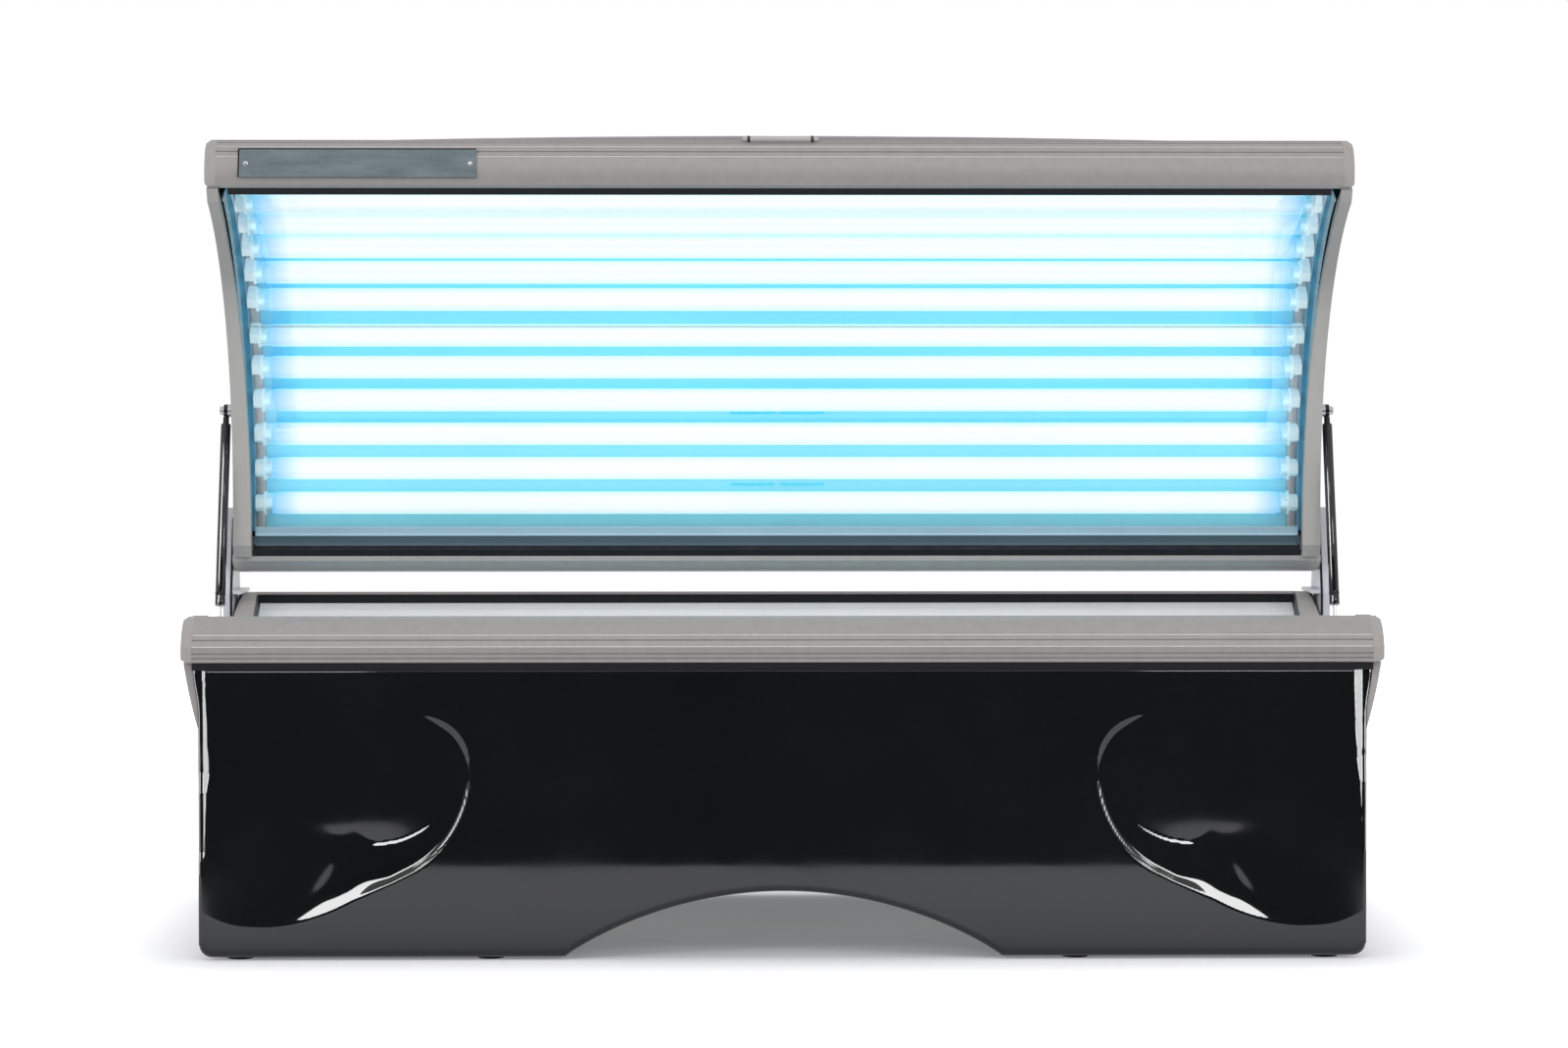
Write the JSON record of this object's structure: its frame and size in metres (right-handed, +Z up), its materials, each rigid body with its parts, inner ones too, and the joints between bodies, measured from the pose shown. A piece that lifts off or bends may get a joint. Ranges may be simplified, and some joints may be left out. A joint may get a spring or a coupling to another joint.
{
  "type": "clamshell tanning bed",
  "caption": "Clamshell tanning bed: black-fronted lamp bench with a hinged curved lamp canopy on towers and gas struts, canopy raised and lamps lit.",
  "frame": {"origin": "on the floor under the middle of the bench", "axes": "+Z up, the front faces -Y, +X to the right along the bed"},
  "size_m": [1.885, 0.8, 1.2818],
  "materials": {
    "aluminium": "warm grey satin anodised",
    "end_moulding": "warm grey moulded",
    "black_gloss": "high gloss black",
    "rubber": "matt black",
    "acrylic": "clear acrylic",
    "reflector": "bright rolled",
    "lamp": "white phosphor, lit",
    "white_plastic": "white",
    "steel": "grey paint",
    "zinc": "zinc plated",
    "black_plastic": "black",
    "tower": "pale grey paint",
    "strut_black": "satin black",
    "chrome": "polished",
    "ballast": "black varnish"
  },
  "bodies": {
    "bench": {"ballast_tray": "zinc", "base_tubes": "steel", "bench_ballasts": "ballast", "bench_end_left": "end_moulding", "bench_end_right": "end_moulding", "bench_front_panel": "black_gloss", "bench_front_rail": "aluminium", "bench_lamp_sockets": "white_plastic", "bench_lamps": "lamp", "bench_panel_gaskets": "rubber", "bench_rail_caps": "end_moulding", "bench_rear_panel": "steel", "bench_rear_rail": "aluminium", "bench_reflector": "reflector", "bench_shield": "acrylic", "bench_shield_gaskets": "rubber", "bench_socket_strips": "zinc", "bench_starters": "white_plastic", "fan_guard_left": "chrome", "fan_guard_right": "chrome", "fan_housing_left": "black_plastic", "fan_housing_right": "black_plastic", "feet": "rubber", "frame_posts": "steel", "hinge_pins": "zinc", "hinge_tower_left": "tower", "hinge_tower_right": "tower", "mains_gland": "black_plastic", "strut_brackets": "zinc", "timer_body": "black_plastic", "tower_bolts": "zinc"},
    "canopy": {"canopy_ballasts": "ballast", "canopy_end_left": "end_moulding", "canopy_end_right": "end_moulding", "canopy_front_rail": "aluminium", "canopy_lamp_sockets": "white_plastic", "canopy_lamps": "lamp", "canopy_rail_caps": "end_moulding", "canopy_rear_rail": "aluminium", "canopy_reflector": "reflector", "canopy_seam_strip": "acrylic", "canopy_shell": "end_moulding", "canopy_shield_front": "acrylic", "canopy_shield_gaskets": "rubber", "canopy_shield_rear": "acrylic", "canopy_socket_strips": "zinc", "canopy_spine": "zinc", "hinge_arms": "zinc", "hinge_bushes": "black_plastic", "nameplate": "zinc", "nameplate_screws": "zinc", "strut_studs_top": "zinc", "top_clip": "white_plastic"},
    "strut_tube_left": {"strut_tube_left": "strut_black"},
    "strut_tube_right": {"strut_tube_right": "strut_black"},
    "strut_rod_left": {"strut_rod_left": "chrome"},
    "strut_rod_right": {"strut_rod_right": "chrome"},
    "fan_rotor_left": {"fan_rotor_left": "black_plastic"},
    "fan_rotor_right": {"fan_rotor_right": "black_plastic"},
    "timer_knob": {"timer_knob": "black_plastic"}
  },
  "joints": [
    {"name": "canopy_hinge", "type": "hinge", "parent": "bench", "child": "canopy", "pos_m": [0, 0.33, 0.648], "axis": [1, 0, 0], "range_deg": [0, 61]},
    {"name": "strut_swing_left", "type": "hinge", "parent": "canopy", "child": "strut_tube_left", "pos_m": [-0.93, 0.271, 0.835], "axis": [1, 0, 0], "range_deg": [-47.5, 0]},
    {"name": "strut_slide_left", "type": "slide", "parent": "strut_tube_left", "child": "strut_rod_left", "axis": [0, -0.2932, -0.956], "range_m": [-0.165, 0]},
    {"name": "fan_spin_left", "type": "hinge", "parent": "bench", "child": "fan_rotor_left", "pos_m": [-0.24, 0.365, 0.23], "axis": [0, 1, 0], "continuous": true},
    {"name": "strut_swing_right", "type": "hinge", "parent": "canopy", "child": "strut_tube_right", "pos_m": [0.93, 0.271, 0.835], "axis": [1, 0, 0], "range_deg": [-47.5, 0]},
    {"name": "strut_slide_right", "type": "slide", "parent": "strut_tube_right", "child": "strut_rod_right", "axis": [0, -0.2932, -0.956], "range_m": [-0.165, 0]},
    {"name": "fan_spin_right", "type": "hinge", "parent": "bench", "child": "fan_rotor_right", "pos_m": [0.24, 0.365, 0.23], "axis": [0, 1, 0], "continuous": true},
    {"name": "timer_turn", "type": "hinge", "parent": "bench", "child": "timer_knob", "pos_m": [0.895, -0.25, 0.215], "axis": [1, 0, 0], "range_deg": [0, 300]}
  ],
  "couplings": [
    {"joint": "strut_swing_left", "follows": "canopy_hinge", "ratio": -0.775},
    {"joint": "strut_slide_left", "follows": "canopy_hinge", "m_per_rad": -0.15397},
    {"joint": "strut_swing_right", "follows": "canopy_hinge", "ratio": -0.775},
    {"joint": "strut_slide_right", "follows": "canopy_hinge", "m_per_rad": -0.15397}
  ]
}
